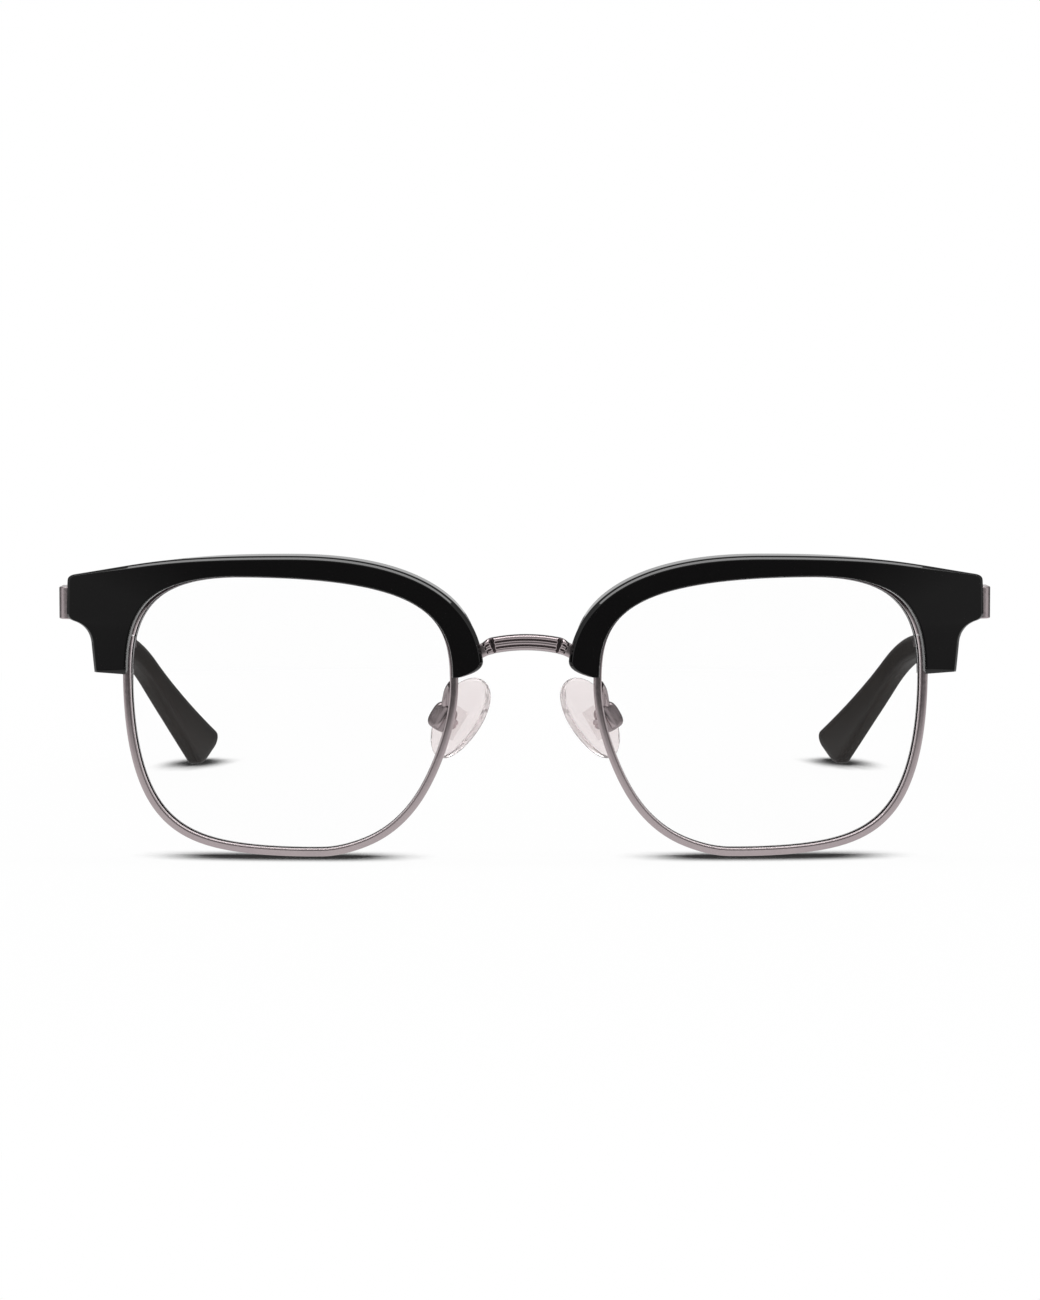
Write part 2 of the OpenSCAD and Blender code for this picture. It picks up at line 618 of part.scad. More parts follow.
module brow_left() { color(black) side(-1) brow(); }
module brow_right() { color(black) side(1) brow(); }
module rim_left() { color(steel) side(-1) rim(); }
module rim_right() { color(steel) side(1) rim(); }
module lens_left() { color(clear) side(-1) lens(); }
module lens_right() { color(clear) side(1) lens(); }
module block_upper_left() { color(steel) side(-1) block_upper(); }
module block_upper_right() { color(steel) side(1) block_upper(); }
module block_lower_left() { color(steel) side(-1) block_lower(); }
module block_lower_right() { color(steel) side(1) block_lower(); }
module rim_lock_screws() { color(steel) for (s = [-1, 1]) side(s) rim_lock_screw(); }
module end_piece_left() { color(steel) side(-1) end_piece(); }
module end_piece_right() { color(steel) side(1) end_piece(); }
module brow_screws() { color(steel) for (s = [-1, 1]) side(s) brow_screw(); }
module hinge_front_left() { color(steel) side(-1) hinge_front(); }
module hinge_front_right() { color(steel) side(1) hinge_front(); }
module hinge_screw_left() { color(steel) side(-1) hinge_screw(); }
module hinge_screw_right() { color(steel) side(1) hinge_screw(); }
module hinge_temple_left() { color(steel) side(-1) hinge_temple(); }
module hinge_temple_right() { color(steel) side(1) hinge_temple(); }
module temple_bar_left() { color(steel) side(-1) temple_bar(); }
module temple_bar_right() { color(steel) side(1) temple_bar(); }
module temple_tip_left() { color(satin) side(-1) temple_tip(); }
module temple_tip_right() { color(satin) side(1) temple_tip(); }
module pad_arm_left() { color(steel) side(-1) pad_arm(); }
module pad_arm_right() { color(steel) side(1) pad_arm(); }
module pad_box_left() { color(steel) side(-1) pad_box(); }
module pad_box_right() { color(steel) side(1) pad_box(); }
module pad_screws() { color(steel) for (s = [-1, 1]) side(s) pad_screw(); }
module pad_core_left() { color(clear) side(-1) pad_core(); }
module pad_core_right() { color(clear) side(1) pad_core(); }
module nose_pad_left() { color(clear) side(-1) nose_pad(); }
module nose_pad_right() { color(clear) side(1) nose_pad(); }

brow_left();
brow_right();
rim_left();
rim_right();
lens_left();
lens_right();
bridge();
block_upper_left();
block_upper_right();
block_lower_left();
block_lower_right();
rim_lock_screws();
end_piece_left();
end_piece_right();
brow_screws();
hinge_front_left();
hinge_front_right();
hinge_screw_left();
hinge_screw_right();
hinge_temple_left();
hinge_temple_right();
temple_bar_left();
temple_bar_right();
temple_tip_left();
temple_tip_right();
pad_arm_left();
pad_arm_right();
pad_box_left();
pad_box_right();
pad_screws();
pad_core_left();
pad_core_right();
nose_pad_left();
nose_pad_right();
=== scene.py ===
import bpy
import numpy as np
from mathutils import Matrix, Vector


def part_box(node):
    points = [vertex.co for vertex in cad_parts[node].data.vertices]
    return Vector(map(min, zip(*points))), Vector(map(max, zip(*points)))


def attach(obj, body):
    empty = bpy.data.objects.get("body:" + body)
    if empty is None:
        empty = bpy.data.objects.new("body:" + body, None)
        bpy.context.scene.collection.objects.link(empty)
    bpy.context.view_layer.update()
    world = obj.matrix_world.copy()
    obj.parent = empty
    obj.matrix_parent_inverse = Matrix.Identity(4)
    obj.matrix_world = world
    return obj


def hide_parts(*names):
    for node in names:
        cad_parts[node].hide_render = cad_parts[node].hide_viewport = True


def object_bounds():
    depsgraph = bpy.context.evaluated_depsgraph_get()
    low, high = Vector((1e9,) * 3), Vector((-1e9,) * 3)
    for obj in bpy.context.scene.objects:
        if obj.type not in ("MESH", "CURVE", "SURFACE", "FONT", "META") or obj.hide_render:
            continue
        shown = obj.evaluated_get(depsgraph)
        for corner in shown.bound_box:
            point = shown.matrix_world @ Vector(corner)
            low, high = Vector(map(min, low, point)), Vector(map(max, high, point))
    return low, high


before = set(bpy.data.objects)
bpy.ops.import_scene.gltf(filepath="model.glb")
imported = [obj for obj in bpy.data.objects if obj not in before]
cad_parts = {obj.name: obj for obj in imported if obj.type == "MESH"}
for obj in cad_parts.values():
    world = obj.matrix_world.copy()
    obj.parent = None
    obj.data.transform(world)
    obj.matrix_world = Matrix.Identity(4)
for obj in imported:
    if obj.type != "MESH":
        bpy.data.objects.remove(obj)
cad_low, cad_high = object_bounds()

# Half rim eyeglasses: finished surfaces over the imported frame, in millimetres until a mesh is made.
# Each piece is worked out for the right-hand side; both_sides adds its mirror image.
MM = 0.001

# Sizes shared with the solids
LENS_W, LENS_H, LENS_T, LENS_GAP = 49.35, 41.85, 2.0, 23.4
BASE_R, WRAP = 150.0, np.radians(3)
RIM_W, RIM_D, GROOVE = 1.3, 2.4, 0.5
RIM_SPLIT, SPLIT_Q = 0.2, 0.205
BROW_FRONT, BROW_BACK, BROW_RISE, BROW_REACH = 1.6, 0.75, 3.2, 9.9
BRIDGE_H, BRIDGE_D, BRIDGE_R = 2.2, 1.9, 26.0
BRIDGE_BEND, BRIDGE_RIB_L = np.radians(26), 9.6
END_H, END_T, END_OUT, END_LEG, BEND_IN = 5.0, 1.3, 1.6, 4.2, 0.7
TEMPLE_L, DROP_L, TEMPLE_SLOPE, BEND_R = 92.0, 47.0, np.radians(9.4), 58.0
TEMPLE_H2, TAPER_L, TAPER_SLOPE, BARE_L = 3.5, 28.0, np.radians(8.2), 66.0
TIP_IN, TIP_H1, TIP_H2, TIP_T = 12.4, 4.2, 9.9, 3.0
PAD_L, PAD_W, PAD_T, PAD_X, PAD_Y = 13.9, 9.0, 2.4, 10.1, 7.0
PAD_LEAN, PAD_SPLAY, PIN_DROP, ARM_D = np.radians(31), np.radians(47), 1.0, 1.2
BOX_R, BOX_W, BOX_H = 2.3, 3.6, 4.2
FIT = 0.08

# Sizes of the finished surfaces alone
LENS_BEVEL_W, LENS_BEVEL = 0.96, GROOVE - 0.04  # width and reach of the lens edge in the groove
GROOVE_W, RIM_OPEN = 0.9, 0.07  # the rim's lens side opens by RIM_OPEN per mm of depth
BROW_FLARE, BROW_BEVEL = 0.83, 0.66
BROW_LIP, BROW_BACK_LIP, BROW_OVERHANG = 0.25, 0.3, 0.15
RIB_H, RIB_FLOOR, RIB_GAP = 0.34, 0.35, 0.2
TIP_SKEW, TIP_SKEW_L, TIP_ROUND, TIP_ROLL, TIP_END_Z = 3.45, 19.7, 2.9, 0.5, 1.2502
PAD_BOW = 0.45
HINGE_GAP, EDGE_R = 0.05, 0.2

# Filling of the rim's lower corners: height in mm, place and width in q
LOW_CORNERS = [(0.33, 2.6, 0.2), (-0.12, 2.87, 0.1), (0.68, 3.45, 0.24)]


# Curves

def mix(a, b, t):
    """Straight line from a at t = 0 to b at t = 1."""
    return a + (b - a) * t


def unit(v):
    return v / np.linalg.norm(v, axis=-1, keepdims=True)


def ramp(x, run):
    """Rises from 0 to 1 while x goes from 0 to run."""
    return np.clip(x / run, 0, 1)


def smooth(t):
    """Smooth step 3t^2 - 2t^3."""
    return t * t * (3 - 2 * t)


def fade(x, width):
    """Soft step down, 1 / (1 + exp(x / width))."""
    return 1 / (1 + np.exp(x / width))


def plateau(x, width):
    """Flat-topped bell, exp(-(x / width)^6)."""
    return np.exp(-(x / width) ** 6)


def bulge(c, power):
    """|c|^power with the sign of c: on cosine and sine it turns an ellipse into a superellipse."""
    return np.sign(c) * np.abs(c) ** power


def bezier(p, t):
    """Cubic Bezier: the four points p weighted by (1-t)^3, 3t(1-t)^2, 3t^2(1-t) and t^3."""
    t = np.asarray(t, float)[..., None]
    s = 1 - t
    return (s ** 3 * p[..., 0, :] + 3 * t * s ** 2 * p[..., 1, :]
        + 3 * t * t * s * p[..., 2, :] + t ** 3 * p[..., 3, :])


def bezier_slope(p, t):
    """A third of the derivative of the cubic Bezier p at t."""
    t = np.asarray(t, float)[..., None]
    s = 1 - t
    return (s ** 2 * (p[..., 1, :] - p[..., 0, :]) + 2 * t * s * (p[..., 2, :] - p[..., 1, :])
        + t * t * (p[..., 3, :] - p[..., 2, :]))


# The rim opening, in the front's flat drawing: its outermost, top, innermost and lowest point and
# its middle as [x, z], and a Bezier for each quarter between them.
NASAL_X = LENS_GAP / 2
TEMPLE_X = NASAL_X + LENS_W
LOW_Z, TOP_Z = RIM_W, RIM_W + LENS_H
EYE_E = np.array([TEMPLE_X, LOW_Z + 0.662 * LENS_H])
EYE_T = np.array([NASAL_X + 0.658 * LENS_W, TOP_Z])
EYE_N = np.array([NASAL_X, LOW_Z + 0.603 * LENS_H])
EYE_B = np.array([NASAL_X + 0.402 * LENS_W, LOW_Z])
EYE_C = np.array([NASAL_X + LENS_W / 2, LOW_Z + LENS_H / 2])
QUARTERS = np.array([
    [EYE_E, [EYE_E[0], mix(EYE_E[1], EYE_T[1], 0.638)],
        [mix(EYE_T[0], EYE_E[0], 0.778), EYE_T[1]], EYE_T],
    [EYE_T, [mix(EYE_T[0], EYE_N[0], 0.97), EYE_T[1]],
        [EYE_N[0], mix(EYE_N[1], EYE_T[1], 0.551)], EYE_N],
    [EYE_N, [EYE_N[0], mix(EYE_N[1], EYE_B[1], 0.357)],
        [mix(EYE_B[0], EYE_N[0], 0.657), EYE_B[1]], EYE_B],
    [EYE_B, [mix(EYE_B[0], EYE_E[0], 0.739), EYE_B[1]],
        [EYE_E[0], mix(EYE_E[1], EYE_B[1], 0.832)], EYE_E]])


def opening(q):
    """Point [x, z] and outward normal of the rim opening at q: quarter floor(q), Bezier parameter
    q - floor(q). The lower corners are filled out along the normal by bell curves of q."""
    q = np.mod(np.asarray(q, float), 4)
    k = np.minimum(q.astype(int), 3)
    way = unit(bezier_slope(QUARTERS[k], q - k))
    normal = np.stack([way[..., 1], -way[..., 0]], -1)
    full = sum(high * np.exp(-((q - at) / wide) ** 2) for high, at, wide in LOW_CORNERS)
    return bezier(QUARTERS[k], q - k) + full[..., None] * normal, normal


def on_front(p, d):
    """Front point [x, z] at depth d: dropped on the base curve sphere about the eye's middle, moved
    d along the sphere's inward normal, turned by the wrap about the vertical through the middle."""
    a, b = p[..., 0] - EYE_C[0], p[..., 1] - EYE_C[1]
    k = np.sqrt(BASE_R ** 2 - a * a - b * b)
    g = (BASE_R - d) / BASE_R
    u, v = a * g, BASE_R - k * g
    x = EYE_C[0] + u * np.cos(WRAP) - v * np.sin(WRAP)
    y = u * np.sin(WRAP) + v * np.cos(WRAP)
    return np.stack([x, y, EYE_C[1] + b * g], -1)


def point(x, z, d):
    return on_front(np.array([x, z], float), d)


# The brow's outline, stretch by stretch from the foot at the temple to the toe at the nose: four
# Bezier points, the opening's parameter q at both ends, number of stations.
BROW_END, BROW_TOP = TEMPLE_X + BROW_REACH, TOP_Z + BROW_RISE
BROW_F, BROW_B = -BROW_FRONT, RIM_D + FIT + BROW_BACK
FOOT = np.array([BROW_END - 4.45, EYE_E[1] - 0.55])
NECK = np.array([BROW_END - 4, FOOT[1] + 4.1])
HEEL = np.array([BROW_END - 1.2, FOOT[1] + 7.7])
END_LOW = np.array([BROW_END, HEEL[1] + 1.3])
END_HIGH = np.array([BROW_END - 0.05, BROW_TOP - 3.9])
SHOULDER = np.array([BROW_END - 1.2, BROW_TOP - 3])
CREST = np.array([EYE_T[0] - 8.2, BROW_TOP])
NOSE_TIP = np.array([NASAL_X - 4.9, EYE_N[1] + 3.9])
TOE = np.array([NASAL_X - RIM_W - 0.45, EYE_N[1] + 1.35])
BROW_RUNS = [
    ([FOOT, mix(FOOT, NECK, 0.33), mix(FOOT, NECK, 0.66), NECK], -0.012, 0.17, 14),
    ([NECK, NECK + [0.15, 2], HEEL + [-1.6, -0.5], HEEL], 0.17, 0.27, 24),
    ([HEEL, HEEL + [0.7, 0.2], [BROW_END, HEEL[1] + 0.5], END_LOW], 0.27, 0.33, 16),
    ([END_LOW, [BROW_END, HEEL[1] + 3], [BROW_END, BROW_TOP - 5], END_HIGH], 0.33, 0.42, 14),
    ([END_HIGH, [BROW_END - 0.1, BROW_TOP - 3.4], [BROW_END - 0.5, BROW_TOP - 3.15], SHOULDER],
        0.42, 0.46, 16),
    ([SHOULDER, [BROW_END - 12.6, BROW_TOP - 1.1], [CREST[0] + 18.6, BROW_TOP], CREST],
        0.46, 1.13, 64),
    ([CREST, [NASAL_X + 0.2, BROW_TOP], NOSE_TIP + [0.6, 5.5], NOSE_TIP], 1.13, 1.86, 90),
    ([NOSE_TIP, NOSE_TIP + [-0.15, -1.2], NOSE_TIP + [0.9, -1.9], TOE], 1.86, 1.954, 24)]
UNDER_BROW = 0.25, 1.9  # stretch of q where the brow covers the rim

# End piece and hinge, in plan, from the brow's back
HINGE_Z = HEEL[1] + END_H / 2 + 0.05
HINGE_LOW = HINGE_Z - END_H / 2
PLAN_A = point(TEMPLE_X + 1.6, HINGE_Z, BROW_B + FIT)[:2]
PLAN_B = point(BROW_END - 0.6, HINGE_Z, BROW_B + FIT)[:2]
STRIP = unit(PLAN_B - PLAN_A)
STRIP_SIDE = np.array([-STRIP[1], STRIP[0]])
BEND_OUT = BEND_IN + END_T
END_X = point(BROW_END, HINGE_Z, BROW_F)[0] + END_OUT
STRIP_L = (END_X - BEND_OUT * (1 - STRIP[1]) - PLAN_A[0]) / STRIP[0]
BEND_C = PLAN_A + STRIP_L * STRIP + BEND_OUT * STRIP_SIDE
HINGE_Y = BEND_C[1] + END_LEG
BAR_X = END_X - END_T / 2

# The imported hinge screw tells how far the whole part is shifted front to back.
screw_low, screw_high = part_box("hinge_screw_right")
SHIFT_Y = (screw_low.y + screw_high.y) / 2 / MM - HINGE_Y


# Meshes

SIDE_SHARE = 0.47  # a fillet takes at most this share of each side
FLAT_START = 1.05  # the sides' flat stretch starts this many fillet radii from the corner


def fillet(rings, radius, steps=6):
    """Rounds each corner P of the closed rings with the parabola (1-t)^2 A + 2t(1-t) P + t^2 B, where
    A and B lie the corner's radius back along its two sides; a point just outside A and B keeps the
    sides flat. Each corner becomes steps + 2 points."""
    before, after = np.roll(rings, 1, 1) - rings, np.roll(rings, -1, 1) - rings
    radius = np.asarray(radius, float)[None, :, None]
    ra = np.minimum(radius, SIDE_SHARE * np.linalg.norm(before, axis=-1, keepdims=True))
    rb = np.minimum(radius, SIDE_SHARE * np.linalg.norm(after, axis=-1, keepdims=True))
    a, b = ra * unit(before), rb * unit(after)
    t = np.linspace(0, 1, steps)[None, None, :, None]
    arc = (1 - t) ** 2 * a[:, :, None] + t ** 2 * b[:, :, None] + rings[:, :, None]
    lead, trail = rings + FLAT_START * a, rings + FLAT_START * b
    rounded = np.concatenate([lead[:, :, None], arc, trail[:, :, None]], 2)
    return rounded.reshape(len(rings), -1, 3)


def solid(name, rings, finish, body, node, painted_shade=None):
    """Skin over rings of points (rings x section x 3, mm): quads between neighbouring rings, a face
    over each open end, turned outwards by the sign of the enclosed volume, shifted to the packed
    place. A painted shade value per point (0 to 1) is kept; the material darkens by it."""
    n, m = rings.shape[:2]
    verts = (rings.reshape(-1, 3) + [0, SHIFT_Y, 0]) * MM
    i = np.arange(n - 1)[:, None] * m
    j = i + m
    k, l = np.arange(m)[None], np.roll(np.arange(m), -1)[None]
    quads = np.stack([i + k, j + k, j + l, i + l], -1).reshape(-1, 4)
    ends = [np.arange(m), np.arange(m)[::-1] + (n - 1) * m]
    p0, p1, p2, p3 = np.moveaxis(verts[quads] - verts.mean(0), 1, 0)
    volume = np.sum(np.cross(p0, p1) * p2) + np.sum(np.cross(p0, p2) * p3)
    if volume < 0:
        quads, ends = quads[:, ::-1], [e[::-1] for e in ends]
    loops = np.concatenate([quads.ravel(), *ends]).astype(np.int32)
    total = np.array([4] * len(quads) + [m] * len(ends), np.int32)
    mesh = bpy.data.meshes.new(name)
    mesh.vertices.add(len(verts))
    mesh.vertices.foreach_set("co", verts.astype(np.float32).ravel())
    mesh.loops.add(len(loops))
    mesh.loops.foreach_set("vertex_index", loops)
    mesh.polygons.add(len(total))
    mesh.polygons.foreach_set("loop_start", (np.cumsum(total) - total).astype(np.int32))
    mesh.polygons.foreach_set("use_smooth", total == 4)
    mesh.update(calc_edges=True)
    if painted_shade is not None:
        values = np.broadcast_to(painted_shade, (n, m)).astype(np.float32).ravel()
        mesh.attributes.new("painted_shade", "FLOAT", "POINT").data.foreach_set("value", values)
    mesh.materials.append(finish)
    piece = bpy.data.objects.new(name, mesh)
    bpy.context.scene.collection.objects.link(piece)
    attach(piece, body)
    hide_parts(node)


def both_sides(name, rings, finish, body, painted_shade=None):
    """The right-hand rings and their mirror image in x, each in place of its own node."""
    for side, sign in (("left", -1), ("right", 1)):
        node = name + "_" + side
        rides = body if body == "front" else body + "_" + side
        solid(node + "_surface", rings * [sign, 1, 1], finish, rides, node, painted_shade)


# Front

def brow():
    """Brow: a C section from each outline point o to the opening point i with outward normal n, made
    of bevelled front corner, outer wall, back lip, rim slot and front lip. Along the top and the
    nose side (weight g) the section stands square on the outline, the outer wall widens to the
    back, so that it shows as a bright edge, and the front lip overhangs."""
    steps = [np.arange(count) / count for _, _, _, count in BROW_RUNS]
    o = [bezier(np.array(run[0], float), t) for run, t in zip(BROW_RUNS, steps)]
    o = np.concatenate([*o, [TOE]])
    q = [mix(run[1], run[2], t) for run, t in zip(BROW_RUNS, steps)]
    q = np.concatenate([*q, [BROW_RUNS[-1][2]]])
    i, n = opening(q)
    g = smooth(ramp(q - 0.44, 0.35) * ramp(1.9 - q, 0.4))[:, None]
    way = np.gradient(o, axis=0)
    square = unit(np.stack([-way[:, 1], way[:, 0]], -1))
    w = unit(mix(unit(i - o), square, g))
    flare = BROW_FLARE * g * smooth(ramp(q - 0.35, 0.75))[:, None]
    bevel_d = BROW_BEVEL * mix(1, mix(0.88, 1, ramp(q - 0.55, 0.4)[:, None]), g)
    slot, back_lip = i + (RIM_W + FIT) * n, i + BROW_BACK_LIP * n
    slot_lip = i + (BROW_LIP - BROW_OVERHANG * g) * n
    front_lip = slot_lip - BROW_OVERHANG * g * n
    slot_f, slot_b = -FIT, RIM_D + FIT
    corners = [  # point, depth, fillet
        (o + BROW_BEVEL * w, BROW_F, 0.12), (o, BROW_F + bevel_d, 0.5), (o - flare * w, BROW_B, 0.2),
        (back_lip, BROW_B, 0.3), (back_lip, slot_b, 0.05), (slot, slot_b, 0.05),
        (slot, slot_f, 0.05), (slot_lip, slot_f, 0.05), (front_lip, BROW_F, 0.3)]
    rings = [on_front(p, np.broadcast_to(d, (len(o), 1))[:, 0]) for p, d, _ in corners]
    return fillet(np.stack(rings, 1), [radius for _, _, radius in corners], 9)


def rim():
    """Rim wire: grooved section carried round the opening between the split's edges. The groove and
    the back of the lens side get painted shade; so does the whole lens side under the brow, as its shadow."""
    half = RIM_SPLIT / 2 / (3 * np.linalg.norm(bezier_slope(QUARTERS[0], SPLIT_Q)))
    q = np.linspace(SPLIT_Q + half, SPLIT_Q + 4 - half, 520)
    i, n = opening(q)
    groove_f, groove_b = (RIM_D - GROOVE_W) / 2, (RIM_D + GROOVE_W) / 2
    section = [  # outward distance, depth, fillet
        (0, 0, 0.42), (RIM_W, 0, 0.62), (RIM_W, RIM_D, 0.34), (RIM_OPEN * RIM_D, RIM_D, 0.2),
        (RIM_OPEN * groove_b, groove_b, 0.06), (GROOVE, RIM_D / 2, 0.06),
        (RIM_OPEN * groove_f, groove_f, 0.06)]
    rings = np.stack([on_front(i + a * n, d) for a, d, _ in section], 1)
    rings = fillet(rings, [radius for _, _, radius in section], 8)
    corner = np.arange(rings.shape[1])[None] * len(section) / rings.shape[1]
    # Painted shade: the brow's shadow on the rim's lens side, and shade in the groove and on the back.
    under = ramp(q - UNDER_BROW[0], 0.2) * ramp(UNDER_BROW[1] - q, 0.2)
    front = np.where(corner < 3, np.clip(1.5 - corner / 1.2, 0, 1), 1)
    groove = (corner > 3.45) & (corner < 6)
    return rings, np.where(groove, 1, under[:, None] * front)


def lens():
    """Lens: rings shrinking to the eye's middle on the front and back base curves, joined by a
    bevelled edge."""
    i, n = opening(np.linspace(0, 4, 320, endpoint=False))
    shrink = [0.004, 0.1, 0.2, 0.35, 0.5, 0.65, 0.8, 0.9, 0.97]
    reach = [-0.2, -0.06, 0.1, 0.38]
    face = [mix(EYE_C, i, k) for k in shrink] + [i + k * n for k in reach]
    edge, mid = face[-1], RIM_D / 2
    rings = [on_front(p, mid - LENS_T / 2) for p in face]
    rings += [on_front(edge, mid - LENS_BEVEL_W / 2), on_front(i + LENS_BEVEL * n, mid),
        on_front(edge, mid + LENS_BEVEL_W / 2)]
    rings += [on_front(p, mid + LENS_T / 2) for p in face[::-1]]
    return np.stack(rings)


def bridge():
    """Bridge: a superellipse section (angle v) along a flat arch whose ends bend down; the line is
    the running sum of (cos a, -sin a). Over the middle its front gets three ribs, high by
    |cos(1.5 pi z / h)|, that end at a gap on each bend, with beads beyond it; the hollows between
    the ribs and the gaps get painted shade."""
    stations = 401
    z0 = FOOT[1] + 4.75
    root = NASAL_X - RIM_W, z0 - 3
    y0 = point(*root, RIM_D / 2)[1]
    reach = point(*root, 0)[0] - FIT - 0.4
    half = BRIDGE_RIB_L / 2 + 0.1
    turn = np.arcsin(half / BRIDGE_R)
    bend_s = BRIDGE_R * turn
    s = np.linspace(-1, 1, stations) * (bend_s + (reach - half) / np.cos(BRIDGE_BEND))
    bent = smooth(ramp(np.abs(s) - bend_s, 0.5))
    a = np.clip(s / BRIDGE_R, -turn, turn) + np.sign(s) * (BRIDGE_BEND - turn) * bent
    run = np.stack([np.cos(a), -np.sin(a)], -1)
    line = np.cumsum((run[1:] + run[:-1]) / 2 * np.diff(s)[:, None], 0)
    line = np.concatenate([[[0, 0]], line])
    line = line - line[stations // 2] + [0, z0 - 0.05]
    v = np.linspace(0, 2 * np.pi, 160, endpoint=False)[None]
    c = np.cos(v)
    past_bend = np.abs(s)[:, None] - bend_s
    gap = plateau(past_bend - 0.2, 0.22)
    ribbed = fade(past_bend + 0.12, 0.05) + plateau(past_bend - 0.95, 0.45)
    h = (BRIDGE_H + 0.3 - 0.4 * fade(1 - past_bend, 0.2)) / 2
    up = h * bulge(np.sin(v), 0.5)
    deep = (BRIDGE_D - 0.3 + 0.1 * ribbed) / 2 * bulge(c, 0.5)
    crest = np.abs(np.cos(1.5 * np.pi * up / h))
    front = (c < 0) * np.clip(np.abs(c) * 3, 0, 1)
    rib = (RIB_H * ribbed * (crest - RIB_FLOOR) - RIB_GAP * gap) * front
    # Painted shade in the hollows between the ribs; the gaps get it too at the return.
    groove = ribbed * (c < 0) * np.clip(1.15 - 2.2 * crest, 0, 1)
    tilt = a[:, None]
    rings = [line[:, :1] + up * np.sin(tilt), y0 + deep - rib, line[:, 1:] + up * np.cos(tilt)]
    return np.stack(rings, -1), np.clip(groove + 0.85 * gap, 0, 1)


def end_piece():
    """End piece: rounded strip section carried along the plan line: straight on the brow, round bend,
    straight leg."""
    a = np.linspace(np.arctan2(STRIP[1], STRIP[0]) - np.pi / 2, 0, 40)
    mid = BEND_IN + END_T / 2
    run = np.linspace(0, STRIP_L, 12)[:-1, None]
    leg = np.linspace(0, END_LEG - HINGE_GAP, 10)[1:, None]
    bend = np.stack([np.cos(a), np.sin(a)], -1)
    line = np.concatenate([PLAN_A + END_T / 2 * STRIP_SIDE + run * STRIP, BEND_C + mid * bend,
        BEND_C + [mid, 0] + leg * [0, 1]])
    out = np.concatenate([np.repeat(-STRIP_SIDE[None], len(run), 0), bend,
        np.repeat([[1.0, 0.0]], len(leg), 0)])
    section = np.array([[-1, -1], [1, -1], [1, 1], [-1, 1]]) / 2
    flat = line[:, None] + section[None, :, :1] * END_T * out[:, None]
    rise = np.broadcast_to(HINGE_Z + section[None, :, 1:] * END_H, (len(line), 4, 1))
    return fillet(np.concatenate([flat, rise], -1), [EDGE_R] * 4)


# Temples

PATH_L = TEMPLE_L + DROP_L - 1
SWEEP_S = BARE_L + 2


def temple_line(s):
    """Centre line at length s: straight down the slope, a round bend, straight to the end; gives the
    point [y, z] and the angle."""
    def way(a):
        return np.stack([np.cos(a), -np.sin(a)], -1)

    def across(a):
        return np.stack([np.sin(a), np.cos(a)], -1)

    last = np.arcsin((HINGE_Z - TEMPLE_L * np.sin(TEMPLE_SLOPE) - TIP_END_Z) / DROP_L)
    turn = last - TEMPLE_SLOPE
    s1, arc = TEMPLE_L - BEND_R * np.tan(turn / 2), BEND_R * turn
    a = TEMPLE_SLOPE + np.clip(s - s1, 0, arc) / BEND_R
    start = np.array([HINGE_Y, HINGE_Z])
    hub = start + s1 * way(TEMPLE_SLOPE) - BEND_R * across(TEMPLE_SLOPE)
    before, after = np.minimum(s - s1, 0)[..., None], np.maximum(s - s1 - arc, 0)[..., None]
    return hub + BEND_R * across(a) + before * way(TEMPLE_SLOPE) + after * way(last), a


def temple_tip():
    """Tip: superellipse section of height h and thickness t along the centre line, swept inwards as a
    1.5 power and rolled so that its lower edge stands out. At e from its end it closes as
    (1 - (1 - e / r)^2.4)^(1 / 2.4), and the end leans so that its top reaches further back."""
    tip_l = PATH_L - BARE_L
    e = np.concatenate([TIP_ROUND * np.linspace(0.01, 1, 26) ** 2,
        np.linspace(TIP_ROUND, tip_l - 0.35, 120)[1:],
        tip_l - np.array([0.3, 0.2, 0.1, 0.04, 0.0])])
    s = PATH_L - e
    u = np.clip((s - BARE_L) / tip_l, 0, 1)
    close = (1 - np.clip(1 - e / TIP_ROUND, 0, 1) ** 2.4) ** (1 / 2.4)
    mouth = 1 - 0.1 * np.clip(1 - (s - BARE_L) / 0.3, 0, 1) ** 2
    h = mix(TIP_H1, TIP_H2, u ** 2.1) * close * mouth
    t = TIP_T * np.sqrt(close) * mouth
    lean = TIP_SKEW * close * np.clip(1 - (e - TIP_ROUND) / TIP_SKEW_L, 0, 1) ** 1.1
    v = np.linspace(0, 2 * np.pi, 72, endpoint=False)
    kx, kz = bulge(np.cos(v), 0.45), bulge(np.sin(v), 0.5)
    p, a = temple_line(s)
    a = a[:, None]
    rise, along = kz * h[:, None] / 2, kz * lean[:, None]
    sweep = TIP_IN * np.maximum((s[:, None] + along - SWEEP_S) / (PATH_L - SWEEP_S), 0) ** 1.5
    roll = TIP_ROLL * u[:, None] ** 2 * (1 - kz)
    x = BAR_X - sweep + roll + kx * t[:, None] / 2
    y = p[:, :1] + rise * np.sin(a) + along * np.cos(a)
    z = p[:, 1:] + rise * np.cos(a) - along * np.sin(a)
    return np.stack([x, y, z], -1)


